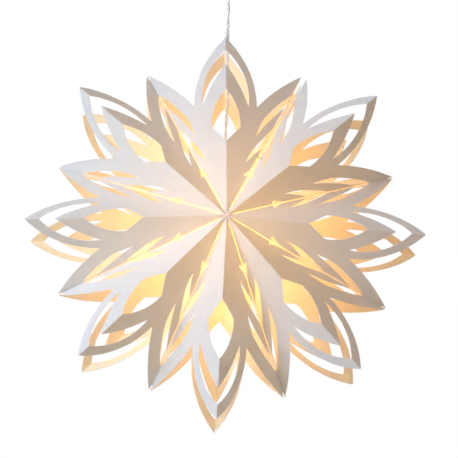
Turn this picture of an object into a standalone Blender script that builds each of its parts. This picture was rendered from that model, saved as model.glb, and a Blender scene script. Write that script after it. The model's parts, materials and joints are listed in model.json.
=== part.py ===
"""Paper snowflake star with a lamp inside, hanging from a ceiling rose on a twisted cord.

The star's axis runs along Y and its front faces -Y.  The origin is on the ceiling, at the
middle of the rose's mounting face, and the star hangs below it.  Eight units stand round the
axis.  Each has one folded die-cut sheet in front and one behind.  The sheets of a face all start
at one apex.  A ridge is the fold down the middle of a petal, and a seam is the valley between
two petals.
"""

import math

import bmesh
import bpy
from mathutils import Matrix, Vector

# Star, in metres and degrees.
CENTRE = Vector((-0.006, 0.0, -0.420))
HALF_DEPTH = 0.1086
SMALL_TIP_RADIUS = 0.2754
RIDGE_LENGTH = 0.3068
PANEL_ANGLE = math.radians(26.4)
HALF_SPREADS = (26.1, 22.1, 22.2, 22.3, 22.0, 21.8, 21.4, 21.4)
UNIT_COUNT = len(HALF_SPREADS)
CLOSING_SEAM = 1
FRONT = -1
BACK = 1

# Paper.
SHEET_THICKNESS = 0.0005
STRIP_THICKNESS = 0.0002
CLEARANCE = 0.0003
SEAM_HALF_GAP = 0.0015
FACE_HALF_GAP = 0.0005
STRIP_HALF_WIDTH = 0.0027
STRIP_POINT = 0.0006
STRIP_SHOULDER = 0.009
STRIP_END = 0.288
CLOSING_STRIP_END = 0.262
CLOSING_STRIP_FLARE = 0.0014

# Flat pattern of half a petal: distance along the ridge, then distance from the ridge.
NOTCH = (0.1954, 0.0527)
PETAL_BULGE = 0.0146
SMALL_PETAL_BULGE = 0.0042
SLOT_OUTER_VERTEX = 0.2854
SLOT_INNER_VERTEX = 0.2604
SLOT_END = (0.1931, 0.0385)
SLOT_OUTER_BULGE = 0.0140
SLOT_INNER_BULGE = 0.0037
EYE_INNER_VERTEX = 0.1263
EYE_OUTER_VERTEX = 0.2164
EYE_SHOULDER = (0.1543, 0.0240)
EYE_BULGE = 0.0074
ARROW_SEAM = (0.0797, 0.1108)
ARROW_BARB = (0.0732, 0.0278)
ARROW_BULGE = 0.0019
INNER_LEAF_SEAM = (0.1400, 0.1791)
INNER_LEAF_TIP = (0.0960, 0.0330)
INNER_LEAF_SHOULDER = (0.1202, 0.0444)
INNER_LEAF_BULGES = (0.0011, 0.0006, 0.0006)
OUTER_LEAF_SEAM = (0.2268, 0.2534)
OUTER_LEAF_TIP = (0.1447, 0.0503)
OUTER_LEAF_SHOULDER = (0.1768, 0.0636)
OUTER_LEAF_BULGES = (0.0020, 0.0008, 0.0022)

# Tabs that join the faces at the small tips, and clips that close the open seam.
TAB_RADII = (0.238, 0.263)
TAB_THICKNESS = 0.0005
TAB_EDGE_GAP = 0.0018
CLIP_PLACES = (0.121, 0.212, 0.244)
CLIP_LENGTH = 0.0022
CLIP_THICKNESS = 0.0006
CLIP_GRIP = 0.0022

# Cord, and what stands on it, measured from the star's centre.
CORD_DIAMETER = 0.0055
CORD_ROUTE = (
    (0.0060, 0.0, 0.3847), (0.0058, 0.0, 0.3680), (0.0054, 0.0, 0.3520), (0.0048, 0.0, 0.3360),
    (0.0041, 0.0, 0.3210), (0.0036, 0.0, 0.3070), (0.0035, 0.0, 0.2930), (0.0038, 0.0, 0.2790),
    (0.0043, 0.0, 0.2640), (0.0047, 0.0, 0.2490), (0.0048, 0.0, 0.2340), (0.0045, 0.0, 0.2190),
    (0.0038, 0.0, 0.2040), (0.0030, 0.0, 0.1880), (0.0021, 0.0, 0.1720), (0.0013, 0.0, 0.1560),
    (0.0006, 0.0, 0.1400), (0.0002, 0.0, 0.1240), (0.0000, 0.0, 0.1120), (0.0000, 0.0, 0.1003),
)
CORD_POINTS = 24
HANGER_HEIGHT = 0.2930
HANGER_HALF_WIDTH = 0.0030
HANGER_THICKNESS = 0.0010
HANGER_EYE_HALF_WIDTH = 0.0060
HANGER_EYE_LENGTHS = (0.004, 0.012)
SLEEVE_TOP = 0.3240
SLEEVE_RADIUS = 0.0040
GRIP_BOTTOM = 0.2875
GRIP_RADIUS = 0.0046
SOCKET_BOTTOM = 0.0360
SOCKET_TOP = 0.0860
SOCKET_RADIUS = 0.0140
SOCKET_WALL = 0.0015
CAP_TOP = 0.1000
CAP_NECK_RADIUS = 0.0050
CAP_NECK_FLARE = 0.0010
CAP_NECK_LENGTH = 0.0050
CAP_STEPS = 5
INSERT_LIP = 0.0040
INSERT_TOP = 0.0660
INSERT_BORE = 0.0074
BULB_RADIUS = 0.0225
BULB_WALL = 0.0006
BULB_NECK_RADIUS = 0.0064
BULB_NECK_TOP = 0.0380
BULB_NECK_LENGTHS = (0.0060, 0.0100)
BULB_NECK_FLARE = 0.0012
BULB_JOIN_ANGLE = math.radians(38.0)
BULB_STEPS = 10
BASE_TOP = 0.0600
BASE_RADIUS = 0.0070
BASE_THREADS = 4
BASE_THREAD_DEPTH = 0.0007
BASE_CREST = 0.3
BASE_CONTACT_RADIUS = 0.0025
BASE_CONTACT_HEIGHT = 0.0015
BASE_CROWN_RADIUS = 0.0050
BASE_CROWN_HEIGHT = 0.0060
FILAMENT_RADIUS = 0.0006
FILAMENT_HALF_WIDTH = 0.0080
FILAMENT_FOOT = 0.0030
FILAMENT_SHOULDER = 0.0200
FILAMENT_ENDS = 0.0020
FILAMENT_DROP = 0.0100
FILAMENT_STEPS = 8
ROSE_RADIUS = 0.0300
ROSE_DEPTH = 0.0250
ROSE_WALL = 0.0015
ROSE_CORNER = 0.0120
ROSE_STEPS = 5
PLATE_THICKNESS = 0.0030
ROSE_GRIP_DEPTH = 0.0100
ROSE_GRIP_RADIUS = 0.0065
ROSE_GRIP_RIM = 0.0030

TURNED_STEPS = 24
HOLE_STEPS = 16
PETAL_ARC_STEPS = 8
SMALL_ARC_STEPS = 4
LEAF_ARC_STEPS = 2

# Colour, roughness, metallic and, last, how much light goes through.
FINISHES = {
    "paper": ((0.86, 0.86, 0.85), 0.80, 0.0, 0.0),
    "strip": ((0.97, 0.88, 0.62), 0.70, 0.0, 0.2),
    "clip": ((0.80, 0.80, 0.78), 0.30, 0.0, 0.5),
    "cord": ((0.75, 0.75, 0.72), 0.20, 0.0, 0.4),
    "plastic": ((0.88, 0.88, 0.86), 0.35, 0.0, 0.0),
    "ceramic": ((0.90, 0.88, 0.82), 0.30, 0.0, 0.0),
    "glass": ((1.00, 0.90, 0.70), 0.15, 0.0, 0.6),
    "brass": ((0.80, 0.62, 0.30), 0.30, 1.0, 0.0),
    "filament": ((1.00, 0.75, 0.30), 0.40, 0.0, 0.0),
}


def clear_scene():
    for item in list(bpy.data.objects):
        bpy.data.objects.remove(item, do_unlink=True)


def make_collection(name):
    collection = bpy.data.collections.new(name)
    bpy.context.scene.collection.children.link(collection)
    return collection


def make_material(node_name, finish):
    colour, roughness, metallic, transmission = FINISHES[finish]
    material = bpy.data.materials.new(node_name)
    material.use_nodes = True
    shader = material.node_tree.nodes["Principled BSDF"]
    shader.inputs["Base Color"].default_value = (*colour, 1.0)
    shader.inputs["Roughness"].default_value = roughness
    shader.inputs["Metallic"].default_value = metallic
    shader.inputs["Transmission Weight"].default_value = transmission
    return material


def add_part(name, data, finish):
    """Links one named piece, with its own material, into the star's collection."""
    data.materials.clear()
    data.materials.append(make_material(name, finish))
    part = bpy.data.objects.new(name, data)
    STAR.objects.link(part)
    return part


def curve_to_mesh(curve, name):
    """Returns a curve's filled body as a mesh whose caps are welded on."""
    carrier = bpy.data.objects.new(name, curve)
    bpy.context.scene.collection.objects.link(carrier)
    bpy.context.view_layer.update()
    mesh = bpy.data.meshes.new_from_object(carrier.evaluated_get(bpy.context.evaluated_depsgraph_get()))
    bpy.data.objects.remove(carrier, do_unlink=True)
    bpy.data.curves.remove(curve)
    body = bmesh.new()
    body.from_mesh(mesh)
    bmesh.ops.remove_doubles(body, verts=body.verts, dist=1e-6)
    bmesh.ops.recalc_face_normals(body, faces=body.faces)
    if body.calc_volume(signed=True) < 0:
        bmesh.ops.reverse_faces(body, faces=body.faces)
    body.to_mesh(mesh)
    body.free()
    mesh.name = name
    return mesh


def flat_sheet(name, outlines, thickness):
    """Returns a flat sheet in the XY plane, cut to the first outline, with the others as holes."""
    curve = bpy.data.curves.new(name, "CURVE")
    curve.dimensions = "2D"
    curve.fill_mode = "BOTH"
    curve.extrude = thickness / 2
    for outline in outlines:
        spline = curve.splines.new("POLY")
        spline.points.add(len(outline) - 1)
        for point, (x, y) in zip(spline.points, outline):
            point.co = (x, y, 0.0, 1.0)
        spline.use_cyclic_u = True
    return curve_to_mesh(curve, name)


def arc(start, end, bulge, steps):
    """Returns the points after start, up to end, of an arc that bulges to the left of its way."""
    start = Vector(start)
    end = Vector(end)
    chord = end - start
    left = Vector((-chord.y, chord.x)).normalized()
    radius = (chord.length ** 2 / 4 + bulge ** 2) / (2 * abs(bulge))
    points = []
    for step in range(1, steps + 1):
        share = step / steps
        along = (share - 0.5) * chord.length
        rise = math.sqrt(radius ** 2 - along ** 2) - (radius - abs(bulge))
        points.append(start + chord * share + left * math.copysign(rise, bulge))
    points[-1] = end
    return points


def seam_point(distance):
    """Returns the point on a petal's seam edge at a distance from the apex along the seam."""
    along = Vector((math.cos(PANEL_ANGLE), math.sin(PANEL_ANGLE)))
    inward = Vector((math.sin(PANEL_ANGLE), -math.cos(PANEL_ANGLE)))
    return along * distance + inward * SEAM_HALF_GAP


def leaf_cut(seam, tip, shoulder, bulges):
    """Returns a leaf-shaped cut that is open at the seam, from its near end to its far end."""
    near = seam_point(seam[0])
    far = seam_point(seam[1])
    return [
        near,
        *arc(near, tip, bulges[0], LEAF_ARC_STEPS),
        *arc(tip, shoulder, -bulges[1], LEAF_ARC_STEPS),
        *arc(shoulder, far, -bulges[2], LEAF_ARC_STEPS),
    ]


def mirrored_outline(half):
    """Closes a half outline, whose first and last points are on the ridge, over the ridge."""
    return [*half, *((point[0], -point[1]) for point in reversed(half[1:-1]))]


def petal_outline():
    apex = Vector((SEAM_HALF_GAP / math.sin(PANEL_ANGLE), 0.0))
    arrow_near = seam_point(ARROW_SEAM[0])
    arrow_far = seam_point(ARROW_SEAM[1])
    small_tip = seam_point(math.hypot(SMALL_TIP_RADIUS, HALF_DEPTH))
    half = [
        apex,
        arrow_near,
        Vector(ARROW_BARB),
        *arc(ARROW_BARB, arrow_far, ARROW_BULGE, LEAF_ARC_STEPS),
        *leaf_cut(INNER_LEAF_SEAM, INNER_LEAF_TIP, INNER_LEAF_SHOULDER, INNER_LEAF_BULGES),
        *leaf_cut(OUTER_LEAF_SEAM, OUTER_LEAF_TIP, OUTER_LEAF_SHOULDER, OUTER_LEAF_BULGES),
        small_tip,
        *arc(small_tip, NOTCH, SMALL_PETAL_BULGE, SMALL_ARC_STEPS),
        *arc(NOTCH, (RIDGE_LENGTH, 0.0), PETAL_BULGE, PETAL_ARC_STEPS),
    ]
    return mirrored_outline(half)


def slot_outline():
    outer = Vector((SLOT_OUTER_VERTEX, 0.0))
    half = [
        outer,
        *arc(outer, SLOT_END, -SLOT_OUTER_BULGE, PETAL_ARC_STEPS),
        *arc(SLOT_END, (SLOT_INNER_VERTEX, 0.0), SLOT_INNER_BULGE, SMALL_ARC_STEPS),
    ]
    return mirrored_outline(half)


def eye_outline():
    half = [
        Vector((EYE_INNER_VERTEX, 0.0)),
        Vector(EYE_SHOULDER),
        *arc(EYE_SHOULDER, (EYE_OUTER_VERTEX, 0.0), EYE_BULGE, SMALL_ARC_STEPS),
    ]
    return mirrored_outline(half)


def direction(azimuth, polar, face):
    """Returns the way from a face's apex at an azimuth from the top and an angle off the axis."""
    return Vector((
        math.sin(azimuth) * math.sin(polar),
        -face * math.cos(polar),
        math.cos(azimuth) * math.sin(polar),
    ))


def apex_point(face):
    return CENTRE + Vector((0.0, face * (HALF_DEPTH + FACE_HALF_GAP), 0.0))


SEAM_POLAR = math.atan2(SMALL_TIP_RADIUS, HALF_DEPTH)


def ridge_polar(half_spread):
    """Returns the ridge's angle off the axis, so that a flat panel spans ridge and seam."""
    across = math.sin(SEAM_POLAR) * math.cos(half_spread)
    along = math.cos(SEAM_POLAR)
    return math.atan2(across, along) + math.acos(math.cos(PANEL_ANGLE) / math.hypot(across, along))


def ridge_azimuths():
    """Returns the ridges' azimuths; the units stand side by side except at the closing seam."""
    azimuths = [0.0] * UNIT_COUNT
    for unit in range(UNIT_COUNT - 1, 0, -1):
        neighbour = (unit + 1) % UNIT_COUNT
        spacing = math.radians(HALF_SPREADS[unit] + HALF_SPREADS[neighbour])
        azimuths[unit] = azimuths[neighbour] - spacing
    return azimuths


RIDGE_AZIMUTHS = ridge_azimuths()


def ridge_direction(unit, face):
    return direction(RIDGE_AZIMUTHS[unit], ridge_polar(math.radians(HALF_SPREADS[unit])), face)


def panel_inward(unit, side, face):
    """Returns the inward normal of a unit's panel; side is +1 towards the next unit, clockwise."""
    half_spread = math.radians(HALF_SPREADS[unit])
    edge = direction(RIDGE_AZIMUTHS[unit] + side * half_spread, SEAM_POLAR, face)
    return (ridge_direction(unit, face).cross(edge) * side * -face).normalized()


def seam_panels(seam, face):
    """Returns the inward normals of the panels on the + and the - side of a seam's fold."""
    before = panel_inward(seam - 1, 1, face)
    after = panel_inward(seam % UNIT_COUNT, -1, face)
    return (after, before) if face == FRONT else (before, after)


def seam_direction(seam, face):
    """Returns the line where the panels on both sides of a seam would meet."""
    plus, minus = seam_panels(seam, face)
    line = plus.cross(minus).normalized()
    return line if line.y * face < 0 else -line


def fold(mesh, apex, axis, plus_inward, minus_inward, lift):
    """Folds a flat sheet along its X axis and stands it at the apex.

    X runs along the fold, the +Y half takes the plane of plus_inward and the -Y half that of
    minus_inward, and the sheet's mid-surface is lifted inwards from those planes.
    """
    body = bmesh.new()
    body.from_mesh(mesh)
    everything = body.verts[:] + body.edges[:] + body.faces[:]
    bmesh.ops.bisect_plane(body, geom=everything, dist=1e-7, plane_co=(0, 0, 0), plane_no=(0, 1, 0))
    bisector = (plus_inward + minus_inward).normalized()
    mitre = bisector / bisector.dot(plus_inward)
    for vertex in body.verts:
        along, across, height = vertex.co
        place = apex + axis * along
        if abs(across) < 1e-7:
            vertex.co = place + mitre * (height + lift)
        else:
            inward = plus_inward if across > 0 else minus_inward
            vertex.co = place + inward.cross(axis) * across + inward * (height + lift)
    body.to_mesh(mesh)
    body.free()


def make_petals():
    """Makes the sixteen folded sheets: one flat pattern, folded along its ridge."""
    outlines = [petal_outline(), slot_outline(), eye_outline()]
    for face, label in ((FRONT, "front"), (BACK, "back")):
        for unit in range(UNIT_COUNT):
            name = f"{label}_petal_{unit + 1}"
            sheet = flat_sheet(name, outlines, SHEET_THICKNESS)
            plus = panel_inward(unit, -face, face)
            minus = panel_inward(unit, face, face)
            fold(sheet, apex_point(face), ridge_direction(unit, face), plus, minus, 0.0)
            add_part(name, sheet, "paper")


def make_seam_strips():
    """Makes the narrow paper strips behind the seams, which the lamp shines through."""
    depth = SHEET_THICKNESS / 2 + CLEARANCE + STRIP_THICKNESS / 2
    for face, label in ((FRONT, "front"), (BACK, "back")):
        for seam in range(1, UNIT_COUNT + 1):
            closing = seam == CLOSING_SEAM
            end = CLOSING_STRIP_END if closing else STRIP_END
            end_width = STRIP_HALF_WIDTH + (CLOSING_STRIP_FLARE if closing else 0.0)
            half = [
                (STRIP_POINT, 0.0),
                (STRIP_SHOULDER, STRIP_HALF_WIDTH),
                (end, end_width),
                (end, 0.0),
            ]
            name = f"{label}_seam_strip_{seam}"
            strip = flat_sheet(name, [mirrored_outline(half)], STRIP_THICKNESS)
            fold(strip, apex_point(face), seam_direction(seam, face), *seam_panels(seam, face), depth)
            add_part(name, strip, "strip")


def make_closing_clips():
    """Makes the small clips that hold the closing seam shut, across its outer face."""
    height = -(SHEET_THICKNESS / 2 + CLEARANCE + CLIP_THICKNESS / 2)
    for face, label in ((FRONT, "front"), (BACK, "back")):
        for number, place in enumerate(CLIP_PLACES, 1):
            reach = STRIP_HALF_WIDTH + CLOSING_STRIP_FLARE * place / CLOSING_STRIP_END + CLIP_GRIP
            near = place - CLIP_LENGTH / 2
            far = place + CLIP_LENGTH / 2
            half = [(near, 0.0), (near, reach), (far, reach), (far, 0.0)]
            name = f"{label}_closing_clip_{number}"
            clip = flat_sheet(name, [mirrored_outline(half)], CLIP_THICKNESS)
            panels = seam_panels(CLOSING_SEAM, face)
            fold(clip, apex_point(face), seam_direction(CLOSING_SEAM, face), *panels, height)
            add_part(name, clip, "clip")


def make_tip_tabs():
    """Makes the card tabs that join the front and the back inside each small tip."""
    for seam in range(1, UNIT_COUNT + 1):
        line = seam_direction(seam, FRONT)
        slope = line.y / math.hypot(line.x, line.z)
        edge_gap = TAB_EDGE_GAP * math.hypot(1.0, slope)
        half = [(radius, HALF_DEPTH + FACE_HALF_GAP - radius * slope - edge_gap) for radius in TAB_RADII]
        outline = [*half, *((radius, -depth) for radius, depth in reversed(half))]
        name = f"tip_tab_{seam}"
        tab = flat_sheet(name, [outline], TAB_THICKNESS)
        outward = Vector((line.x, 0.0, line.z)).normalized()
        axis = Vector((0.0, 1.0, 0.0))
        turn = Matrix((outward, axis, outward.cross(axis))).transposed().to_4x4()
        tab.transform(Matrix.Translation(CENTRE) @ turn)
        add_part(name, tab, "paper")


def turned(name, profile, finish, x=0.0, closed=False):
    """Makes a turned piece about a vertical axis from (radius, height above the centre) points.

    The profile runs down the outer side.  A closed profile returns to its first point.
    """
    mesh = bpy.data.meshes.new(name)
    edges = [(index, index + 1) for index in range(len(profile) - 1)]
    edges = [pair for pair in edges if profile[pair[0]][0] > 0 or profile[pair[1]][0] > 0]
    if closed:
        edges.append((len(profile) - 1, 0))
    mesh.from_pydata([(radius, 0.0, height) for radius, height in profile], edges, [])
    part = add_part(name, mesh, finish)
    part.location = CENTRE + Vector((x, 0.0, 0.0))
    screw = part.modifiers.new("Turn", "SCREW")
    screw.steps = TURNED_STEPS
    screw.render_steps = TURNED_STEPS
    screw.use_merge_vertices = True
    screw.merge_threshold = 1e-6
    return part


def make_wire(name, points, radius, finish):
    curve = bpy.data.curves.new(name, "CURVE")
    curve.dimensions = "3D"
    curve.bevel_depth = radius
    curve.bevel_resolution = 2
    curve.use_fill_caps = True
    spline = curve.splines.new("POLY")
    spline.points.add(len(points) - 1)
    for point, place in zip(spline.points, points):
        point.co = (*place, 1.0)
    wire = add_part(name, curve, finish)
    wire.location = CENTRE
    return wire


def smooth_path(route, count):
    """Returns evenly counted points on the smooth curve through a route's points."""
    points = []
    last = len(route) - 1
    for index in range(count):
        place = index * last / (count - 1)
        start = min(int(place), last - 1)
        share = place - start
        before, here, after, beyond = (
            Vector(route[min(max(start + step, 0), last)]) for step in (-1, 0, 1, 2)
        )
        points.append(0.5 * (
            2 * here
            + (after - before) * share
            + (2 * before - 5 * here + 4 * after - beyond) * share ** 2
            + (3 * here - before - 3 * after + beyond) * share ** 3
        ))
    return points


def cord_x(height):
    """Returns how far to the side the cord is at a height above the star's centre."""
    for upper, lower in zip(CORD_ROUTE, CORD_ROUTE[1:]):
        if lower[2] <= height <= upper[2]:
            share = (height - lower[2]) / (upper[2] - lower[2])
            return lower[0] + (upper[0] - lower[0]) * share
    return 0.0


def make_cord():
    make_wire("lamp_cord", smooth_path(CORD_ROUTE, CORD_POINTS), CORD_DIAMETER / 2, "cord")


def ring_profile(top, bottom, outer, inner):
    return [(outer, top), (outer, bottom), (inner, bottom), (inner, top)]


def make_hanger():
    """Makes the bar that carries the top petals, the grip under it and the sleeve above it."""
    bore = CORD_DIAMETER / 2 + 2 * CLEARANCE
    side = cord_x(HANGER_HEIGHT)
    ridge = ridge_direction(0, BACK)
    depth = HALF_DEPTH + FACE_HALF_GAP - HANGER_HEIGHT / ridge.z * -ridge.y
    reach = depth - SHEET_THICKNESS - 2 * CLEARANCE
    shoulder = reach - HANGER_HALF_WIDTH
    eye_near, eye_far = HANGER_EYE_LENGTHS
    eye_edge = side + HANGER_EYE_HALF_WIDTH
    outline = [
        (-reach, 0.0),
        (-shoulder, HANGER_HALF_WIDTH),
        (-eye_far, HANGER_HALF_WIDTH),
        (-eye_near, eye_edge),
        (eye_near, eye_edge),
        (eye_far, HANGER_HALF_WIDTH),
        (shoulder, HANGER_HALF_WIDTH),
        (reach, 0.0),
        (shoulder, -HANGER_HALF_WIDTH),
        (-shoulder, -HANGER_HALF_WIDTH),
    ]
    angles = [math.tau * step / HOLE_STEPS for step in range(HOLE_STEPS)]
    hole = [(bore * math.cos(angle), side + bore * math.sin(angle)) for angle in angles]
    bar = flat_sheet("hanger_bar", [outline, hole], HANGER_THICKNESS)
    turn = Matrix.Rotation(-math.pi / 2, 4, "Z")
    bar.transform(Matrix.Translation(CENTRE + Vector((0.0, 0.0, HANGER_HEIGHT))) @ turn)
    add_part("hanger_bar", bar, "clip")

    bar_bottom = HANGER_HEIGHT - HANGER_THICKNESS / 2
    bar_top = HANGER_HEIGHT + HANGER_THICKNESS / 2
    grip_top = bar_bottom - CLEARANCE
    grip_x = cord_x((grip_top + GRIP_BOTTOM) / 2)
    turned("cord_grip", ring_profile(grip_top, GRIP_BOTTOM, GRIP_RADIUS, bore), "plastic", grip_x, True)
    sleeve_bottom = bar_top + CLEARANCE
    sleeve_x = cord_x((SLEEVE_TOP + sleeve_bottom) / 2)
    sleeve = ring_profile(SLEEVE_TOP, sleeve_bottom, SLEEVE_RADIUS, bore + CLEARANCE)
    turned("cord_sleeve", sleeve, "cord", sleeve_x, True)


def make_socket():
    """Makes the lamp holder: the cap with the cord's neck, the shell and the insert in it."""
    inner = SOCKET_RADIUS - SOCKET_WALL
    shell = ring_profile(SOCKET_TOP, SOCKET_BOTTOM, SOCKET_RADIUS, inner)
    turned("socket_shell", shell, "plastic", 0.0, True)
    neck = CAP_NECK_RADIUS + CAP_NECK_FLARE
    crown = CAP_TOP - CAP_NECK_LENGTH
    base = SOCKET_TOP + CLEARANCE
    cap = [(0.0, CAP_TOP), (CAP_NECK_RADIUS, CAP_TOP), (neck, crown)]
    for step in range(1, CAP_STEPS + 1):
        angle = math.pi / 2 * step / CAP_STEPS
        radius = neck + (SOCKET_RADIUS - neck) * math.sin(angle)
        cap.append((radius, base + (crown - base) * math.cos(angle)))
    turned("socket_cap", [*cap, (0.0, base)], "plastic")
    outer = inner - CLEARANCE
    floor = BASE_TOP + 2 * CLEARANCE
    low = SOCKET_BOTTOM + INSERT_LIP
    insert = [
        (0.0, INSERT_TOP),
        (outer, INSERT_TOP),
        (outer, low),
        (INSERT_BORE, low),
        (INSERT_BORE, floor),
        (0.0, floor),
    ]
    turned("socket_insert", insert, "ceramic")


def bulb_profile(radius, neck):
    """Returns a bulb's wall from its neck down to its pole, as a globe under a flared neck."""
    straight, flared = BULB_NECK_LENGTHS
    points = [
        (neck, BULB_NECK_TOP),
        (neck, BULB_NECK_TOP - straight),
        (neck + BULB_NECK_FLARE, BULB_NECK_TOP - flared),
    ]
    for step in range(BULB_STEPS + 1):
        angle = BULB_JOIN_ANGLE + (math.pi - BULB_JOIN_ANGLE) * step / BULB_STEPS
        points.append((radius * math.sin(angle), radius * math.cos(angle)))
    points[-1] = (0.0, -radius)
    return points


def make_bulb():
    outer = bulb_profile(BULB_RADIUS, BULB_NECK_RADIUS)
    inner = bulb_profile(BULB_RADIUS - BULB_WALL, BULB_NECK_RADIUS - BULB_WALL)
    turned("bulb_glass", [*outer, *reversed(inner)], "glass", 0.0, True)

    bottom = BULB_NECK_TOP + CLEARANCE
    crown = BASE_TOP - BASE_CROWN_HEIGHT
    pitch = (crown - bottom) / BASE_THREADS
    base = [
        (0.0, BASE_TOP),
        (BASE_CONTACT_RADIUS, BASE_TOP),
        (BASE_CONTACT_RADIUS, BASE_TOP - BASE_CONTACT_HEIGHT),
        (BASE_CROWN_RADIUS, crown),
    ]
    for turn in range(BASE_THREADS):
        crest = crown - (turn + BASE_CREST) * pitch
        root = crown - (turn + 1) * pitch
        base += [(BASE_RADIUS, crest), (BASE_RADIUS - BASE_THREAD_DEPTH, root)]
    turned("bulb_base", [*base, (0.0, base[-1][1])], "brass")

    foot = BULB_NECK_TOP - CLEARANCE
    loop = [(-FILAMENT_FOOT, 0.0, foot), (-FILAMENT_FOOT, 0.0, FILAMENT_SHOULDER)]
    for step in range(FILAMENT_STEPS + 1):
        angle = math.pi * step / FILAMENT_STEPS
        height = FILAMENT_ENDS - FILAMENT_DROP * math.sin(angle)
        loop.append((-FILAMENT_HALF_WIDTH * math.cos(angle), 0.0, height))
    loop += [(FILAMENT_FOOT, 0.0, FILAMENT_SHOULDER), (FILAMENT_FOOT, 0.0, foot)]
    make_wire("bulb_filament", loop, FILAMENT_RADIUS, "filament")


def rose_wall(rim, bottom, radius, corner):
    """Returns one side of the cover's wall, from its rim round the corner to its middle."""
    points = [(radius, rim)]
    for step in range(ROSE_STEPS + 1):
        angle = math.pi / 2 * step / ROSE_STEPS
        out = radius - corner * (1 - math.cos(angle))
        points.append((out, bottom + corner * (1 - math.sin(angle))))
    return [*points, (0.0, bottom)]


def make_ceiling_rose():
    """Makes the plate on the ceiling, the cover round it and the grip that holds the cord."""
    ceiling = -CENTRE.z
    radius = ROSE_RADIUS - ROSE_WALL - CLEARANCE
    plate_bottom = ceiling - PLATE_THICKNESS
    plate = [(0.0, ceiling), (radius, ceiling), (radius, plate_bottom), (0.0, plate_bottom)]
    turned("ceiling_plate", plate, "plastic", -CENTRE.x)

    rim = ceiling - CLEARANCE
    bottom = ceiling - ROSE_DEPTH
    cover = rose_wall(rim, bottom, ROSE_RADIUS, ROSE_CORNER)
    lining = rose_wall(rim, bottom + ROSE_WALL, ROSE_RADIUS - ROSE_WALL, ROSE_CORNER - ROSE_WALL)
    turned("rose_cover", [*cover, *reversed(lining)], "plastic", -CENTRE.x, True)

    top = bottom - CLEARANCE
    low = bottom - ROSE_GRIP_DEPTH
    grip = [
        (0.0, top),
        (ROSE_GRIP_RADIUS, top),
        (ROSE_GRIP_RADIUS, top - ROSE_GRIP_RIM),
        (CAP_NECK_RADIUS, low),
        (0.0, low),
    ]
    turned("rose_grip", grip, "plastic", -CENTRE.x)


def shade_round_pieces():
    names = ("socket", "bulb", "rose", "cord", "ceiling")
    for part in STAR.objects:
        if part.type == "MESH" and part.name.startswith(names):
            part.data.shade_smooth()


clear_scene()
STAR = make_collection("paper_snowflake_star")
make_petals()
make_seam_strips()
make_closing_clips()
make_tip_tabs()
make_cord()
make_hanger()
make_socket()
make_bulb()
make_ceiling_rose()
shade_round_pieces()
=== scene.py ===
"""Looks of the paper snowflake star: folded, die-cut paper lit from inside, on a clear twisted cord.

All lengths are in metres in the part's own frame: the star's axis runs along Y, its front faces -Y,
and it hangs below the ceiling rose, whose mounting face is at the origin.
"""

import json
import math
import random

import bmesh
import bpy
from mathutils import Matrix, Vector, noise


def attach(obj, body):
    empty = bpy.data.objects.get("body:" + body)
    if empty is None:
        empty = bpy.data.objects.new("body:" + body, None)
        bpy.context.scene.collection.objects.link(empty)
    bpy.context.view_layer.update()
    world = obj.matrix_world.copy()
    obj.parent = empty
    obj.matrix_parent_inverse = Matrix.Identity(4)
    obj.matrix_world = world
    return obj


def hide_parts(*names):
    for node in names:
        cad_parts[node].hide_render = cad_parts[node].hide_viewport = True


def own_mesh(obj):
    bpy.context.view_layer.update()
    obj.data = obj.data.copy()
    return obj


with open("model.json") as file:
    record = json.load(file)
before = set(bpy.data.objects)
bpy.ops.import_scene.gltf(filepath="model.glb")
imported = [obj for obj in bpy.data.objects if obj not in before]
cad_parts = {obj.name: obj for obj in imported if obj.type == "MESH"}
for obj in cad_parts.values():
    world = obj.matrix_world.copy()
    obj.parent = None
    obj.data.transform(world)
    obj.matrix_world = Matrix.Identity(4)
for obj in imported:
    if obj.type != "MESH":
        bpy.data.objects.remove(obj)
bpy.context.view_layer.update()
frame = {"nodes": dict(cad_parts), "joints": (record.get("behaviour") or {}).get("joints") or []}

JOINTS = {joint["name"]: joint for joint in frame["joints"]}
CENTRE = Vector(JOINTS["fold_8"]["pos_m"])
FRONT = -1
BACK = 1
FACES = ((FRONT, "front"), (BACK, "back"))

# The star, as part.py builds it.
HALF_DEPTH = 0.1086
SMALL_TIP_RADIUS = 0.2754
RIDGE_LENGTH = 0.3068
PANEL_ANGLE = math.radians(26.4)
HALF_SPREADS = (26.1, 22.1, 22.2, 22.3, 22.0, 21.8, 21.4, 21.4)
UNIT_COUNT = len(HALF_SPREADS)
CLOSING_SEAM = 1
SHEET_THICKNESS = 0.0005
STRIP_THICKNESS = 0.0002
CLEARANCE = 0.0003
SEAM_HALF_GAP = 0.0015
FACE_HALF_GAP = 0.0005
STRIP_HALF_WIDTH = 0.0027
STRIP_POINT = 0.0006
STRIP_SHOULDER = 0.009
STRIP_END = 0.288
CLOSING_STRIP_END = 0.262
CLOSING_STRIP_FLARE = 0.0014

# Flat pattern of half a petal: distance along the ridge, then distance from the ridge.
NOTCH = (0.1954, 0.0527)
PETAL_BULGE = 0.0146
SMALL_PETAL_BULGE = 0.0042
SLOT_OUTER_VERTEX = 0.2854
SLOT_INNER_VERTEX = 0.2604
SLOT_END = (0.1931, 0.0385)
SLOT_OUTER_BULGE = 0.0140
SLOT_INNER_BULGE = 0.0037
EYE_INNER_VERTEX = 0.1263
EYE_OUTER_VERTEX = 0.2164
EYE_SHOULDER = (0.1543, 0.0240)
EYE_BULGE = 0.0074
ARROW_SEAM = (0.0797, 0.1108)
ARROW_BARB = (0.0732, 0.0278)
ARROW_BULGE = 0.0019
INNER_LEAF_SEAM = (0.1400, 0.1791)
INNER_LEAF_TIP = (0.0960, 0.0330)
INNER_LEAF_SHOULDER = (0.1202, 0.0444)
INNER_LEAF_BULGES = (0.0011, 0.0006, 0.0006)
OUTER_LEAF_SEAM = (0.2268, 0.2534)
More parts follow.
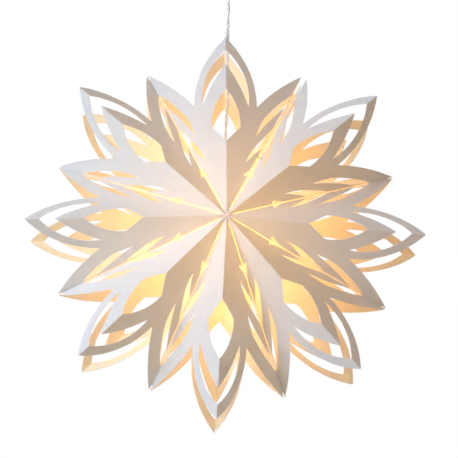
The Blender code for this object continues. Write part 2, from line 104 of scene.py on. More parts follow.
OUTER_LEAF_TIP = (0.1447, 0.0503)
OUTER_LEAF_SHOULDER = (0.1768, 0.0636)
OUTER_LEAF_BULGES = (0.0020, 0.0008, 0.0022)
TAB_RADII = (0.238, 0.263)
TAB_THICKNESS = 0.0005
TAB_EDGE_GAP = 0.0018
CLIP_PLACES = (0.121, 0.212, 0.244)
CLIP_LENGTH = 0.0022
CLIP_THICKNESS = 0.0006
CLIP_GRIP = 0.0022
CLIP_CORNER_BULGE = 0.29

# The cord's route from the rose to the lamp holder, measured from the star's centre.
CORD_DIAMETER = 0.0055
CORD_ROUTE = (
    (0.0060, 0.0, 0.3847), (0.0058, 0.0, 0.3680), (0.0054, 0.0, 0.3520), (0.0048, 0.0, 0.3360),
    (0.0041, 0.0, 0.3210), (0.0036, 0.0, 0.3070), (0.0035, 0.0, 0.2930), (0.0038, 0.0, 0.2790),
    (0.0043, 0.0, 0.2640), (0.0047, 0.0, 0.2490), (0.0048, 0.0, 0.2340), (0.0045, 0.0, 0.2190),
    (0.0038, 0.0, 0.2040), (0.0030, 0.0, 0.1880), (0.0021, 0.0, 0.1720), (0.0013, 0.0, 0.1560),
    (0.0006, 0.0, 0.1400), (0.0002, 0.0, 0.1240), (0.0000, 0.0, 0.1120), (0.0000, 0.0, 0.1003),
)
STRAND_RADIUS = CORD_DIAMETER / 4
JACKET_RADIUS = STRAND_RADIUS * 0.995
JACKET_SIDES = 14
WIRE_RADIUS = 0.00050
WIRE_OFFSET = STRAND_RADIUS * 1.25
WIRE_SIDES = 8
TWIST_PITCH = 0.052
CORD_STEPS = 260

# Fineness of the meshes. Fold cuts are in radii of the fold, and the crease margin is in cells.
# Points closer than SAME_PLACE are one, and CUT_TOLERANCE is how near a cut a point lies on it.
SAME_PLACE = 1e-6
CUT_TOLERANCE = 1e-7
ARC_STEPS = 14
LEAF_STEPS = 6
PAPER_CELL = 0.008
STRIP_CELL = 0.006
CREASE_MARGIN = 0.4
FOLD_RADIUS = 0.0007
FOLD_CUTS = (-2.2, -1.0, -0.5, 0.0, 0.5, 1.0, 2.2)
SHEET_SHARP_ANGLE = math.radians(35.0)
CORD_SHARP_ANGLE = math.radians(50.0)

# How the panels bow and wave, which faces of a sheet count as its inside, and where the seam
# strips glow.
BOW = 0.0016
BOW_REACH = 0.20
WAVE_SHARE = 0.7
WAVE_ALONG = 0.09
WAVE_ACROSS = 0.05
WAVE_PLACES = 10.0
INWARD_FACING = 0.5
STRIP_GLOW = (0.012, 0.252)

# Camera: its distance and way from the star's centre, and where it aims beside it.
CAMERA_DISTANCE = 3.779
CAMERA_WAY = Vector((-0.0273, -0.9763, -0.2144)).normalized()
AIM_RIGHT = 0.0065
AIM_UP = 0.0028
CAMERA_LENS = 191.5
SENSOR_WIDTH = 36.0

# The floor glows a little, so that it stays pale, and lights nothing.
FLOOR_HEIGHT = -2.6
FLOOR_HALF_SIZE = 40.0
FLOOR_SHADES = (0.80, 0.84)
FLOOR_GLOW = (0.62, 0.64, 0.65, 1.0)

# Lights. The ambient light is stronger and warmer in front of the star than behind it.
KEY_PLACE = Vector((-2.6, -1.5, 0.55))
KEY_SIZE = 1.1
KEY_POWER = 60.0
KEY_COLOUR = (0.86, 1.15, 1.53)
RIM_PLACE = Vector((-2.1, 1.9, 0.4))
RIM_SIZE = 1.8
RIM_POWER = 45.0
RIM_COLOUR = (1.0, 0.86, 0.78)
LAMP_COLOUR = (1.0, 0.465, 0.13)
LAMP_POWER = 10.4
LAMP_RADIUS = 0.020
AMBIENT_FRONT = (0.41, 0.30, 0.26, 1.0)
AMBIENT_BACK = (0.13, 0.11, 0.09, 1.0)
AMBIENT_TURN = 0.6
BACKDROP = (1.0, 1.0, 1.0, 1.0)


# ---------------------------------------------------------------- camera


def make_camera():
    """Stands the camera where the photograph's was, looking slightly up at the star."""
    forward = -CAMERA_WAY
    right = forward.cross(Vector((0.0, 0.0, 1.0))).normalized()
    up = right.cross(forward)
    camera_data = bpy.data.cameras.new("camera")
    camera_data.lens = CAMERA_LENS
    camera_data.sensor_width = SENSOR_WIDTH
    camera = bpy.data.objects.new("camera", camera_data)
    bpy.context.scene.collection.objects.link(camera)
    camera.location = CENTRE + CAMERA_WAY * CAMERA_DISTANCE
    aim = CENTRE + right * AIM_RIGHT + up * AIM_UP
    camera.rotation_euler = (aim - camera.location).to_track_quat("-Z", "Y").to_euler()
    bpy.context.scene.camera = camera


# ---------------------------------------------------------------- materials


class Nodes:
    """Builds one material's nodes, from a shader back to its textures."""

    def __init__(self, name):
        self.material = bpy.data.materials.new(name)
        self.material.use_nodes = True
        self.tree = self.material.node_tree
        self.tree.nodes.clear()
        self.output = self.add("ShaderNodeOutputMaterial")
        self.place = self.add("ShaderNodeTexCoord").outputs["Object"]

    def add(self, kind, **settings):
        node = self.tree.nodes.new(kind)
        for key, value in settings.items():
            setattr(node, key, value)
        return node

    def link(self, source, target):
        self.tree.links.new(source, target)

    def noise(self, scale, detail=2.0, stretch=(1.0, 1.0, 1.0)):
        """Returns the factor of a noise whose scale is in waves a metre."""
        mapping = self.add("ShaderNodeMapping")
        mapping.inputs["Scale"].default_value = stretch
        self.link(self.place, mapping.inputs["Vector"])
        texture = self.add("ShaderNodeTexNoise")
        texture.inputs["Scale"].default_value = scale
        texture.inputs["Detail"].default_value = detail
        self.link(mapping.outputs["Vector"], texture.inputs["Vector"])
        return texture.outputs["Fac"]

    def ramp(self, factor, dark, light, low=0.3, high=0.7):
        """Returns a colour, or a grey for two numbers, that follows a factor between two stops."""
        node = self.add("ShaderNodeValToRGB")
        ends = [(value,) * 3 if isinstance(value, float) else value for value in (dark, light)]
        for element, place, colour in zip(node.color_ramp.elements, (low, high), ends):
            element.position = place
            element.color = (*colour, 1.0)
        self.link(factor, node.inputs["Fac"])
        return node.outputs["Color"]

    def bump(self, height, depth, under=None):
        """Returns a normal with a relief of the given depth in metres, over another relief."""
        node = self.add("ShaderNodeBump")
        node.inputs["Distance"].default_value = depth
        self.link(height, node.inputs["Height"])
        if under is not None:
            self.link(under, node.inputs["Normal"])
        return node.outputs["Normal"]

    def shader(self, kind, **inputs):
        """Adds a shader; a socket is linked, and a plain value is set on the shader's own socket."""
        node = self.add(kind)
        for key, value in inputs.items():
            socket = node.inputs[key.replace("_", " ")]
            if isinstance(value, bpy.types.NodeSocket):
                self.link(value, socket)
            else:
                socket.default_value = value
        return node.outputs[0]

    def mixed(self, first, second, share):
        """Returns two shaders mixed, with a share of the second."""
        node = self.add("ShaderNodeMixShader")
        node.inputs["Fac"].default_value = share
        self.link(first, node.inputs[1])
        self.link(second, node.inputs[2])
        return node.outputs[0]

    def finish(self, surface):
        self.link(surface, self.output.inputs["Surface"])
        return self.material


def darker(colour, share):
    return tuple(channel * share for channel in colour)


def paper_material(name, light_through, colour, glow):
    """Heavy uncoated paper: short fibres, a faint cloudiness and light that comes through."""
    build = Nodes(name)
    clouds = build.noise(scale=70.0, detail=3.0)
    fibres = build.noise(scale=900.0, detail=4.0, stretch=(1.0, 0.35, 1.6))
    base = build.ramp(clouds, darker(colour, 0.985), colour)
    through = build.ramp(clouds, darker(glow, 0.95), glow)
    relief = build.bump(fibres, depth=0.00005, under=build.bump(clouds, depth=0.00006))
    rough = build.ramp(fibres, 0.72, 0.90)
    front = build.shader(
        "ShaderNodeBsdfPrincipled", Base_Color=base, Roughness=rough, Normal=relief,
        Specular_IOR_Level=0.25, Sheen_Weight=0.05,
    )
    behind = build.shader("ShaderNodeBsdfTranslucent", Color=through, Normal=relief)
    return build.finish(build.mixed(front, behind, light_through))


def plastic_material(name, colour, roughness):
    """Moulded plastic with a slight unevenness in its gloss."""
    build = Nodes(name)
    patches = build.noise(scale=260.0)
    base = build.ramp(patches, darker(colour, 0.96), colour)
    rough = build.ramp(build.noise(scale=700.0, detail=3.0), roughness * 0.8, roughness * 1.2)
    relief = build.bump(build.noise(scale=2400.0), depth=0.00003)
    return build.finish(build.shader(
        "ShaderNodeBsdfPrincipled", Base_Color=base, Roughness=rough, Normal=relief,
    ))


def clear_material(name, tint, roughness, clearness):
    """Clear soft plastic: glossy, faintly milky and mostly seen through."""
    build = Nodes(name)
    rough = build.ramp(build.noise(scale=500.0), roughness * 0.6, roughness * 1.5)
    relief = build.bump(build.noise(scale=900.0), depth=0.00005)
    milk = build.ramp(build.noise(scale=400.0), darker(tint, 0.96), tint)
    surface = build.shader(
        "ShaderNodeBsdfPrincipled", Base_Color=milk, Roughness=rough, Normal=relief,
    )
    return build.finish(build.mixed(surface, build.shader("ShaderNodeBsdfTransparent"), clearness))


def metal_material(name, colour, roughness):
    """Bright metal with fine drawing marks and dull patches."""
    build = Nodes(name)
    marks = build.noise(scale=1500.0, detail=3.0, stretch=(1.0, 1.0, 4.0))
    base = build.ramp(marks, darker(colour, 0.82), colour)
    rough = build.ramp(marks, roughness * 0.7, roughness * 1.4)
    relief = build.bump(marks, depth=0.00002)
    return build.finish(build.shader(
        "ShaderNodeBsdfPrincipled", Base_Color=base, Roughness=rough, Normal=relief, Metallic=1.0,
    ))


def glowing_material(name, colour, glow, strength):
    """A lit surface, such as a bulb's frosted glass, that glows a little unevenly."""
    build = Nodes(name)
    frost = build.noise(scale=300.0)
    light = build.ramp(frost, darker(glow, 0.9), glow)
    return build.finish(build.shader(
        "ShaderNodeBsdfPrincipled", Base_Color=(*colour, 1.0), Roughness=0.4,
        Emission_Color=light, Emission_Strength=strength,
    ))


PAPER_GLOW = (0.86, 0.92, 0.96)
PAPER = paper_material("white_paper", 0.36, (0.90, 0.90, 0.90), PAPER_GLOW)
# The inner side's yellow is painted light: the lamp's warm light inside the star, put into the colour of
# paper that is white on both sides.
LAMPLIT_PAPER_INSIDE = paper_material("paper_inside_painted_lamp_glow", 0.36, (0.95, 0.86, 0.54), PAPER_GLOW)
SEAM_PAPER = paper_material("seam_paper", 0.74, (0.92, 0.90, 0.84), (1.0, 0.95, 0.84))
TAB_CARD = paper_material("tab_card", 0.50, (0.92, 0.88, 0.80), (1.0, 0.90, 0.76))
CLEAR_JACKET = clear_material("clear_cord_jacket", (0.97, 0.96, 0.94), 0.12, 0.70)
TINNED_WIRE = metal_material("tinned_copper_wire", (0.84, 0.82, 0.78), 0.42)
CLEAR_PLASTIC = clear_material("clear_plastic", (0.93, 0.93, 0.92), 0.10, 0.84)
WHITE_PLASTIC = plastic_material("white_plastic", (0.86, 0.86, 0.84), 0.32)
CERAMIC = plastic_material("socket_ceramic", (0.84, 0.80, 0.72), 0.25)
BULB_GLASS = glowing_material("lit_bulb_glass", (0.45, 0.38, 0.26), (1.0, 0.72, 0.36), 0.95)
BRASS = metal_material("bulb_base_metal", (0.80, 0.66, 0.40), 0.28)
FILAMENT = glowing_material("lit_filament", (0.95, 0.80, 0.50), (1.0, 0.62, 0.25), 12.0)


# ---------------------------------------------------------------- the star's geometry


def arc(start, end, bulge, steps):
    """Returns the points after start, up to end, of an arc that bulges to the left of its way."""
    start = Vector(start)
    end = Vector(end)
    chord = end - start
    left = Vector((-chord.y, chord.x)).normalized()
    radius = (chord.length ** 2 / 4 + bulge ** 2) / (2 * abs(bulge))
    points = []
    for step in range(1, steps + 1):
        share = step / steps
        along = (share - 0.5) * chord.length
        rise = math.sqrt(radius ** 2 - along ** 2) - (radius - abs(bulge))
        points.append(start + chord * share + left * math.copysign(rise, bulge))
    points[-1] = end
    return points


def seam_point(distance):
    """Returns the point on a petal's seam edge at a distance from the apex along the seam."""
    along = Vector((math.cos(PANEL_ANGLE), math.sin(PANEL_ANGLE)))
    inward = Vector((math.sin(PANEL_ANGLE), -math.cos(PANEL_ANGLE)))
    return along * distance + inward * SEAM_HALF_GAP


def leaf_cut(seam, tip, shoulder, bulges):
    """Returns a leaf-shaped cut that is open at the seam, from its near end to its far end."""
    near = seam_point(seam[0])
    far = seam_point(seam[1])
    return [
        near,
        *arc(near, tip, bulges[0], LEAF_STEPS),
        *arc(tip, shoulder, -bulges[1], LEAF_STEPS),
        *arc(shoulder, far, -bulges[2], LEAF_STEPS),
    ]


def mirrored_outline(half):
    """Closes a half outline, whose first and last points are on the ridge, over the ridge."""
    return [*half, *((point[0], -point[1]) for point in reversed(half[1:-1]))]


def petal_outline():
    apex = Vector((SEAM_HALF_GAP / math.sin(PANEL_ANGLE), 0.0))
    arrow_near = seam_point(ARROW_SEAM[0])
    arrow_far = seam_point(ARROW_SEAM[1])
    small_tip = seam_point(math.hypot(SMALL_TIP_RADIUS, HALF_DEPTH))
    half = [
        apex,
        arrow_near,
        Vector(ARROW_BARB),
        *arc(ARROW_BARB, arrow_far, ARROW_BULGE, LEAF_STEPS),
        *leaf_cut(INNER_LEAF_SEAM, INNER_LEAF_TIP, INNER_LEAF_SHOULDER, INNER_LEAF_BULGES),
        *leaf_cut(OUTER_LEAF_SEAM, OUTER_LEAF_TIP, OUTER_LEAF_SHOULDER, OUTER_LEAF_BULGES),
        small_tip,
        *arc(small_tip, NOTCH, SMALL_PETAL_BULGE, ARC_STEPS),
        *arc(NOTCH, (RIDGE_LENGTH, 0.0), PETAL_BULGE, ARC_STEPS),
    ]
    return mirrored_outline(half)


def slot_outline():
    outer = Vector((SLOT_OUTER_VERTEX, 0.0))
    half = [
        outer,
        *arc(outer, SLOT_END, -SLOT_OUTER_BULGE, ARC_STEPS),
        *arc(SLOT_END, (SLOT_INNER_VERTEX, 0.0), SLOT_INNER_BULGE, ARC_STEPS),
    ]
    return mirrored_outline(half)


def eye_outline():
    half = [
        Vector((EYE_INNER_VERTEX, 0.0)),
        Vector(EYE_SHOULDER),
        *arc(EYE_SHOULDER, (EYE_OUTER_VERTEX, 0.0), EYE_BULGE, ARC_STEPS),
    ]
    return mirrored_outline(half)


def direction(azimuth, polar, face):
    """Returns the way from a face's apex at an azimuth from the top and an angle off the axis."""
    return Vector((
        math.sin(azimuth) * math.sin(polar),
        -face * math.cos(polar),
        math.cos(azimuth) * math.sin(polar),
    ))


def apex_point(face):
    return CENTRE + Vector((0.0, face * (HALF_DEPTH + FACE_HALF_GAP), 0.0))


SEAM_POLAR = math.atan2(SMALL_TIP_RADIUS, HALF_DEPTH)


def ridge_polar(half_spread):
    """Returns the ridge's angle off the axis, so that a flat panel spans ridge and seam."""
    across = math.sin(SEAM_POLAR) * math.cos(half_spread)
    along = math.cos(SEAM_POLAR)
    return math.atan2(across, along) + math.acos(math.cos(PANEL_ANGLE) / math.hypot(across, along))


def ridge_azimuths():
    """Returns the ridges' azimuths; the units stand side by side except at the closing seam."""
    azimuths = [0.0] * UNIT_COUNT
    for unit in range(UNIT_COUNT - 1, 0, -1):
        neighbour = (unit + 1) % UNIT_COUNT
        spacing = math.radians(HALF_SPREADS[unit] + HALF_SPREADS[neighbour])
        azimuths[unit] = azimuths[neighbour] - spacing
    return azimuths


RIDGE_AZIMUTHS = ridge_azimuths()


def ridge_direction(unit, face):
    return direction(RIDGE_AZIMUTHS[unit], ridge_polar(math.radians(HALF_SPREADS[unit])), face)


def panel_inward(unit, side, face):
    """Returns the inward normal of a unit's panel; side is +1 towards the next unit, clockwise."""
    half_spread = math.radians(HALF_SPREADS[unit])
    edge = direction(RIDGE_AZIMUTHS[unit] + side * half_spread, SEAM_POLAR, face)
    return (ridge_direction(unit, face).cross(edge) * side * -face).normalized()


def seam_panels(seam, face):
    """Returns the inward normals of the panels on the + and the - side of a seam's fold."""
    before = panel_inward(seam - 1, 1, face)
    after = panel_inward(seam % UNIT_COUNT, -1, face)
    return (after, before) if face == FRONT else (before, after)


def seam_direction(seam, face):
    """Returns the line where the panels on both sides of a seam would meet."""
    plus, minus = seam_panels(seam, face)
    line = plus.cross(minus).normalized()
    return line if line.y * face < 0 else -line


# ---------------------------------------------------------------- sheets


def blank(name, outlines, cell, creases):
    """Returns a flat open sheet in the XY plane as a bmesh, meshed in square cells.

    The first outline is its edge and the others are holes. Creases are extra cuts along X.
    """
    curve = bpy.data.curves.new(name, "CURVE")
    curve.dimensions = "2D"
    curve.fill_mode = "BOTH"
    for outline in outlines:
        spline = curve.splines.new("POLY")
        spline.points.add(len(outline) - 1)
        for point, (x, y) in zip(spline.points, outline):
            point.co = (x, y, 0.0, 1.0)
        spline.use_cyclic_u = True
    carrier = bpy.data.objects.new(name, curve)
    bpy.context.scene.collection.objects.link(carrier)
    bpy.context.view_layer.update()
    mesh = bpy.data.meshes.new_from_object(carrier.evaluated_get(bpy.context.evaluated_depsgraph_get()))
    bpy.data.objects.remove(carrier, do_unlink=True)
    bpy.data.curves.remove(curve)
    sheet = bmesh.new()
    sheet.from_mesh(mesh)
    bpy.data.meshes.remove(mesh)
    bmesh.ops.remove_doubles(sheet, verts=sheet.verts, dist=SAME_PLACE)

    reach = max(abs(vertex.co.y) for vertex in sheet.verts)
    length = max(vertex.co.x for vertex in sheet.verts)
    across = [cell * step for step in range(1, int(length / cell) + 1)]
    margin = cell * CREASE_MARGIN
    along = [cell * step for step in range(-int(reach / cell), int(reach / cell) + 1)]
    along = [y for y in along if all(abs(y - crease) > margin for crease in creases)]
    along += creases
    cuts = [((x, 0.0, 0.0), (1.0, 0.0, 0.0)) for x in across]
    cuts += [((0.0, y, 0.0), (0.0, 1.0, 0.0)) for y in along]
    for place, way in cuts:
        everything = sheet.verts[:] + sheet.edges[:] + sheet.faces[:]
        bmesh.ops.bisect_plane(sheet, geom=everything, dist=CUT_TOLERANCE, plane_co=place, plane_no=way)

    def on_a_cut(edge):
        first, second = (vertex.co for vertex in edge.verts)
        same_x = abs(first.x - second.x) < SAME_PLACE
        same_y = abs(first.y - second.y) < SAME_PLACE
        on_x = same_x and any(abs(first.x - x) < SAME_PLACE for x in across)
        on_y = same_y and any(abs(first.y - y) < SAME_PLACE for y in along)
        return on_x or on_y

    spare = [edge for edge in sheet.edges if len(edge.link_faces) == 2 and not on_a_cut(edge)]
    bmesh.ops.dissolve_edges(sheet, edges=spare, use_verts=False, use_face_split=False)
    for face in sheet.faces:
        if face.normal.z < 0:
            face.normal_flip()
    return sheet


def fold_creases(radius):
    """Returns where a sheet is cut along its fold, so that the fold can be round."""
    return [radius * cut for cut in FOLD_CUTS]


def folded(sheet, name, apex, axis, plus_inward, minus_inward, lift, radius, bend=None):
    """Returns a new mesh of the flat sheet, folded along its X axis with a round fold.

    X runs along the fold, the +Y half takes the plane of plus_inward and the -Y half that of
    minus_inward. The sheet is lifted inwards by lift, and by what bend gives for a flat point.
    """
    bisector = (plus_inward + minus_inward).normalized()
    mitre = bisector / bisector.dot(plus_inward)
    plus_way = plus_inward.cross(axis)
    minus_way = minus_inward.cross(axis)
    body = sheet.copy()
    for vertex in body.verts:
        along, across, _ = vertex.co
        height = lift + (bend(along, across) if bend else 0.0)
        place = apex + axis * along
        if abs(across) < radius:
            share = (across + radius) / (2 * radius)
            place += minus_way * -radius * (1 - share) ** 2 + plus_way * radius * share ** 2
            place += (minus_inward * (1 - share) + plus_inward * share).normalized() * height
            place += (mitre - bisector) * height * 2 * share * (1 - share)
        else:
            side = plus_way if across > 0 else minus_way
            inward = plus_inward if across > 0 else minus_inward
            place += side * across + inward * height
        vertex.co = place
    mesh = bpy.data.meshes.new(name)
    body.to_mesh(mesh)
    body.free()
    return mesh


def add_piece(name, mesh, material, body, replaced):
    """Adds a piece that stands for the CAD nodes in replaced and rides on a body."""
    piece = bpy.data.objects.new(name, mesh)
    bpy.context.scene.collection.objects.link(piece)
    piece.data.materials.clear()
    piece.data.materials.append(material)
    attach(piece, body)
    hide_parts(*replaced)
    return piece


def thickened(name, mesh, thickness):
    """Returns a mesh of a closed sheet of even thickness about an open one, with sharp cut edges."""
    carrier = bpy.data.objects.new(name, mesh)
    bpy.context.scene.collection.objects.link(carrier)
    solid = carrier.modifiers.new("Thickness", "SOLIDIFY")
    solid.thickness = thickness
    solid.offset = 0.0
    bpy.context.view_layer.update()
    thick = bpy.data.meshes.new_from_object(carrier.evaluated_get(bpy.context.evaluated_depsgraph_get()))
    bpy.data.objects.remove(carrier, do_unlink=True)
    bpy.data.meshes.remove(mesh)
    thick.shade_smooth()
    thick.set_sharp_from_angle(angle=SHEET_SHARP_ANGLE)
    return thick


def unit_body(unit):
    return "top_unit" if unit == 0 else f"unit_{unit + 1}"


def flattens(piece):
    """Gives a piece its own copy of its mesh."""
    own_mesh(piece)


def paper_bow(seed):
    """Returns how far a sheet's two panels bow at a flat point; ridge and seams stay put."""
    draw = random.Random(seed)
    depths = [draw.uniform(-BOW, BOW) for _ in range(2)]
    waves = [draw.uniform(0.0, WAVE_PLACES) for _ in range(2)]

    def bend(along, across):
        side = 0 if across < 0 else 1
        share = min(math.atan2(abs(across), along) / PANEL_ANGLE, 1.0)
        reach = min(along / BOW_REACH, 1.0)
        wave = noise.noise(Vector((along / WAVE_ALONG, across / WAVE_ACROSS, waves[side])))
        return (depths[side] + WAVE_SHARE * BOW * wave) * reach * math.sin(math.pi * share) ** 2

    return bend


def paint_lamp_glow_inside(mesh, inward):
    """Gives a sheet's inner side its own material, with the lamp's warm light painted into its colour,
    and leaves its outer side and its edges.
    """
    mesh.materials.append(LAMPLIT_PAPER_INSIDE)
    for polygon in mesh.polygons:
        polygon.material_index = int(polygon.normal.dot(inward) > INWARD_FACING)


def make_petals():
    """Makes the sixteen folded sheets from one flat pattern, each bowed a little differently."""
    outlines = [petal_outline(), slot_outline(), eye_outline()]
    pattern = blank("petal", outlines, PAPER_CELL, fold_creases(FOLD_RADIUS))
    for face, label in FACES:
        for unit in range(UNIT_COUNT):
            name = f"{label}_petal_{unit + 1}"
            plus = panel_inward(unit, -face, face)
            minus = panel_inward(unit, face, face)
            axis = ridge_direction(unit, face)
            bend = paper_bow(f"{name} bow")
            sheet = folded(pattern, name, apex_point(face), axis, plus, minus, 0.0, FOLD_RADIUS, bend)
            mesh = thickened(name, sheet, SHEET_THICKNESS)
            piece = add_piece(f"{name}_paper", mesh, PAPER, unit_body(unit), [name])
            paint_lamp_glow_inside(mesh, plus + minus)
            flattens(piece)
    pattern.free()


def make_seam_strips():
    """Makes the thin paper strips behind the seams, which the lamp shines through."""
    depth = SHEET_THICKNESS / 2 + CLEARANCE + STRIP_THICKNESS / 2
    for seam in range(1, UNIT_COUNT + 1):
        closing = seam == CLOSING_SEAM
        end = CLOSING_STRIP_END if closing else STRIP_END
        end_width = STRIP_HALF_WIDTH + (CLOSING_STRIP_FLARE if closing else 0.0)
        glow_end = end if closing else STRIP_GLOW[1]
        half = [
            (STRIP_POINT, 0.0),
            (STRIP_SHOULDER, STRIP_HALF_WIDTH),
            (end, end_width),
            (end, 0.0),
        ]
        pattern = blank("strip", [mirrored_outline(half)], STRIP_CELL, fold_creases(FOLD_RADIUS / 2))
        for face, label in FACES:
            name = f"{label}_seam_strip_{seam}"
            axis = seam_direction(seam, face)
            panels = seam_panels(seam, face)
            sheet = folded(pattern, name, apex_point(face), axis, *panels, depth, FOLD_RADIUS / 2)
            mesh = thickened(name, sheet, STRIP_THICKNESS)
            body = unit_body(seam - 1)
            piece = add_piece(f"{name}_paper", mesh, SEAM_PAPER, body, [name])
            mesh.materials.append(PAPER)
            for polygon in mesh.polygons:
                along = (polygon.center - apex_point(face)).dot(axis)
                polygon.material_index = int(not STRIP_GLOW[0] < along < glow_end)
            flattens(piece)
        pattern.free()


def make_closing_clips():
    """Makes the small clear clips that hold the closing seam shut, across its outer face."""
    height = -(SHEET_THICKNESS / 2 + CLEARANCE + CLIP_THICKNESS / 2)
    for number, place in enumerate(CLIP_PLACES, 1):
        reach = STRIP_HALF_WIDTH + CLOSING_STRIP_FLARE * place / CLOSING_STRIP_END + CLIP_GRIP
        corner = CLIP_LENGTH / 2
        bulge = corner * CLIP_CORNER_BULGE
        half = [
            (place - corner, 0.0),
            (place - corner, reach - corner),
            *arc((place - corner, reach - corner), (place, reach), bulge, LEAF_STEPS),
            *arc((place, reach), (place + corner, reach - corner), bulge, LEAF_STEPS),
            (place + corner, 0.0),
        ]
        pattern = blank("clip", [mirrored_outline(half)], CLIP_LENGTH / 3, fold_creases(FOLD_RADIUS / 2))
        for face, label in FACES:
            name = f"{label}_closing_clip_{number}"
            axis = seam_direction(CLOSING_SEAM, face)
            panels = seam_panels(CLOSING_SEAM, face)
            sheet = folded(pattern, name, apex_point(face), axis, *panels, height, FOLD_RADIUS / 2)
            mesh = thickened(name, sheet, CLIP_THICKNESS)
            piece = add_piece(f"{name}_clear", mesh, CLEAR_PLASTIC, "top_unit", [name])
            flattens(piece)
        pattern.free()


def make_tip_tabs():
    """Makes the card tabs that join the front and the back inside each small tip."""
    for seam in range(1, UNIT_COUNT + 1):
        line = seam_direction(seam, FRONT)
        slope = line.y / math.hypot(line.x, line.z)
        edge_gap = TAB_EDGE_GAP * math.hypot(1.0, slope)
        half = [(radius, HALF_DEPTH + FACE_HALF_GAP - radius * slope - edge_gap) for radius in TAB_RADII]
        outline = [*half, *((radius, -depth) for radius, depth in reversed(half))]
        name = f"tip_tab_{seam}"
        pattern = blank(name, [outline], PAPER_CELL / 2, [])
        sheet = bpy.data.meshes.new(name)
        pattern.to_mesh(sheet)
        pattern.free()
        outward = Vector((line.x, 0.0, line.z)).normalized()
        axis = Vector((0.0, 1.0, 0.0))
        turn = Matrix((outward, axis, outward.cross(axis))).transposed().to_4x4()
        sheet.transform(Matrix.Translation(CENTRE) @ turn)
        mesh = thickened(name, sheet, TAB_THICKNESS)
        piece = add_piece(f"{name}_card", mesh, TAB_CARD, unit_body(seam - 1), [name])
        flattens(piece)


# ---------------------------------------------------------------- cord


def smooth_path(route, count):
    """Returns evenly counted points on the smooth curve through a route's points."""
    points = []
    last = len(route) - 1
    for index in range(count):
        place = index * last / (count - 1)
        start = min(int(place), last - 1)
        share = place - start
        before, here, after, beyond = (
            Vector(route[min(max(start + step, 0), last)]) for step in (-1, 0, 1, 2)
        )
        points.append(0.5 * (
            2 * here
            + (after - before) * share
            + (2 * before - 5 * here + 4 * after - beyond) * share ** 2
            + (3 * here - before - 3 * after + beyond) * share ** 3
        ))
    return points


def twisted_tubes(name, path, offset, radius, sides):
    """Returns one mesh of two closed tubes that twist round each other along a path."""
    body = bmesh.new()
    travelled = 0.0
    rings = ([], [])
    for index, point in enumerate(path):
        before = path[max(index - 1, 0)]
        after = path[min(index + 1, len(path) - 1)]
        way = (after - before).normalized()
        side = way.cross(Vector((0.0, 1.0, 0.0))).normalized()
        depth = way.cross(side)
        if index:
            travelled += (point - before).length
        turn = math.tau * travelled / TWIST_PITCH
        for strand, ring in enumerate(rings):
            angle = turn + math.pi * strand
            centre = point + (side * math.cos(angle) + depth * math.sin(angle)) * offset
            ring.append([
                body.verts.new(
                    centre + (side * math.cos(math.tau * step / sides)
                              + depth * math.sin(math.tau * step / sides)) * radius
                )
                for step in range(sides)
            ])
    for ring in rings:
        for first, second in zip(ring, ring[1:]):
            for step in range(sides):
                following = (step + 1) % sides
                body.faces.new((first[step], first[following], second[following], second[step]))
        body.faces.new(reversed(ring[0]))
        body.faces.new(ring[-1])
    bmesh.ops.recalc_face_normals(body, faces=body.faces)
    mesh = bpy.data.meshes.new(name)
    body.to_mesh(mesh)
    body.free()
    mesh.shade_smooth()
    mesh.set_sharp_from_angle(angle=CORD_SHARP_ANGLE)
    return mesh


def make_cord():
    """Makes the clear two-strand cord with the bright wires that show in its strands."""
    path = [CENTRE + point for point in smooth_path(CORD_ROUTE, CORD_STEPS)]
    jacket_mesh = twisted_tubes("jacket", path, STRAND_RADIUS, JACKET_RADIUS, JACKET_SIDES)
    jacket = add_piece("lamp_cord_jacket", jacket_mesh, CLEAR_JACKET, "top_unit", ["lamp_cord"])
    wire_mesh = twisted_tubes("wires", path, WIRE_OFFSET, WIRE_RADIUS, WIRE_SIDES)
    wires = bpy.data.objects.new("lamp_cord_wires", wire_mesh)
    bpy.context.scene.collection.objects.link(wires)
    wire_mesh.materials.append(TINNED_WIRE)
    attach(wires, "top_unit")


# ---------------------------------------------------------------- fittings


def dress(node, material):
    """Gives a CAD node that is kept a finished material."""
    for slot in frame["nodes"][node].material_slots:
        slot.material = material


def dress_fittings():
    for node in ("socket_shell", "socket_cap", "ceiling_plate", "rose_cover", "rose_grip"):
        dress(node, WHITE_PLASTIC)
    dress("socket_insert", CERAMIC)
    for node in ("cord_sleeve", "cord_grip", "hanger_bar"):
        dress(node, CLEAR_PLASTIC)
    dress("bulb_glass", BULB_GLASS)
    dress("bulb_base", BRASS)
    dress("bulb_filament", FILAMENT)


# ---------------------------------------------------------------- light


def make_soft_light(name, place, size, power, colour):
    """Makes a large round light that faces the star."""
    data = bpy.data.lights.new(name, "AREA")
    data.shape = "DISK"
    data.size = size
    data.energy = power
    data.color = colour
    light = bpy.data.objects.new(name, data)
    bpy.context.scene.collection.objects.link(light)
    light.location = CENTRE + place
    light.rotation_euler = (-place).to_track_quat("-Z", "Y").to_euler()


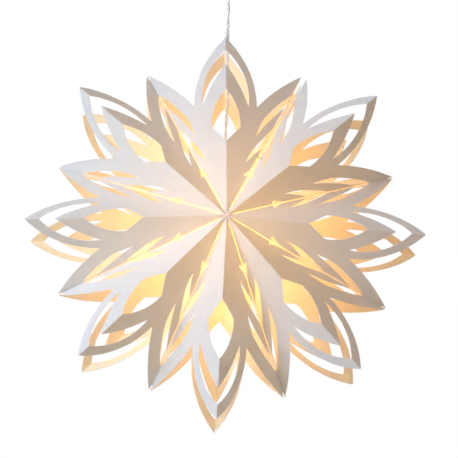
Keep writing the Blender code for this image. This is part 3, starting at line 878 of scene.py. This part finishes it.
def make_lamp():
    """Puts the lamp's light in the bulb, where neither the bulb nor its holder shades it.

    Its light falls off linearly, which stands in for what bounces about inside the star.
    """
    data = bpy.data.lights.new("lamp", "POINT")
    data.energy = LAMP_POWER
    data.shadow_soft_size = LAMP_RADIUS
    data.use_nodes = True
    tree = data.node_tree
    tree.nodes.clear()
    falloff = tree.nodes.new("ShaderNodeLightFalloff")
    falloff.inputs["Strength"].default_value = 1.0
    emission = tree.nodes.new("ShaderNodeEmission")
    emission.inputs["Color"].default_value = (*LAMP_COLOUR, 1.0)
    tree.links.new(falloff.outputs["Linear"], emission.inputs["Strength"])
    output = tree.nodes.new("ShaderNodeOutputLight")
    tree.links.new(emission.outputs[0], output.inputs["Surface"])
    light = bpy.data.objects.new("lamp", data)
    bpy.context.scene.collection.objects.link(light)
    light.location = CENTRE
    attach(light, "top_unit")
    glowing = ("bulb_glass", "bulb_filament")
    for node in glowing:
        frame["nodes"][node].visible_diffuse = False
    for node in (*glowing, "bulb_base", "socket_insert", "socket_shell", "socket_cap"):
        frame["nodes"][node].visible_shadow = False


def make_world():
    """Makes the studio: the camera sees pure white, and a softer ambient light falls on the star.

    The ambient light goes from its front colour to its back one along the star's axis.
    """
    world = bpy.data.worlds.new("studio")
    bpy.context.scene.world = world
    world.use_nodes = True
    tree = world.node_tree
    tree.nodes.clear()
    output = tree.nodes.new("ShaderNodeOutputWorld")
    mix = tree.nodes.new("ShaderNodeMixShader")
    seen = tree.nodes.new("ShaderNodeLightPath")
    way = tree.nodes.new("ShaderNodeTexCoord")
    parts = tree.nodes.new("ShaderNodeSeparateXYZ")
    tree.links.new(way.outputs["Generated"], parts.inputs[0])
    depth = tree.nodes.new("ShaderNodeMapRange")
    depth.inputs["From Min"].default_value = -AMBIENT_TURN
    depth.inputs["From Max"].default_value = AMBIENT_TURN
    tree.links.new(parts.outputs["Y"], depth.inputs["Value"])
    # Of a mix node's sockets for colours, inputs 6 and 7 are the two ends and output 2 the result.
    shade = tree.nodes.new("ShaderNodeMix")
    shade.data_type = "RGBA"
    shade.inputs[6].default_value = AMBIENT_FRONT
    shade.inputs[7].default_value = AMBIENT_BACK
    tree.links.new(depth.outputs["Result"], shade.inputs["Factor"])
    ambient = tree.nodes.new("ShaderNodeBackground")
    tree.links.new(shade.outputs[2], ambient.inputs["Color"])
    backdrop = tree.nodes.new("ShaderNodeBackground")
    backdrop.inputs["Color"].default_value = BACKDROP
    tree.links.new(seen.outputs["Is Camera Ray"], mix.inputs[0])
    tree.links.new(ambient.outputs[0], mix.inputs[1])
    tree.links.new(backdrop.outputs[0], mix.inputs[2])
    tree.links.new(mix.outputs[0], output.inputs["Surface"])


def make_floor():
    """Makes the pale floor of the room, far below the star."""
    mesh = bpy.data.meshes.new("floor")
    body = bmesh.new()
    bmesh.ops.create_grid(body, x_segments=1, y_segments=1, size=FLOOR_HALF_SIZE)
    body.to_mesh(mesh)
    body.free()
    floor = bpy.data.objects.new("floor", mesh)
    bpy.context.scene.collection.objects.link(floor)
    floor.location = (0.0, 0.0, FLOOR_HEIGHT)
    build = Nodes("floor")
    base = build.ramp(build.noise(scale=2.0), *FLOOR_SHADES)
    mesh.materials.append(build.finish(build.shader(
        "ShaderNodeBsdfPrincipled", Base_Color=base, Roughness=0.9,
        Emission_Color=FLOOR_GLOW, Emission_Strength=1.0,
    )))
    floor.visible_diffuse = False


make_camera()
make_cord()
make_petals()
make_seam_strips()
make_closing_clips()
make_tip_tabs()
dress_fittings()
make_soft_light("key", KEY_PLACE, KEY_SIZE, KEY_POWER, KEY_COLOUR)
make_soft_light("rim", RIM_PLACE, RIM_SIZE, RIM_POWER, RIM_COLOUR)
make_lamp()
make_world()
make_floor()
bpy.context.scene.view_settings.view_transform = "Standard"
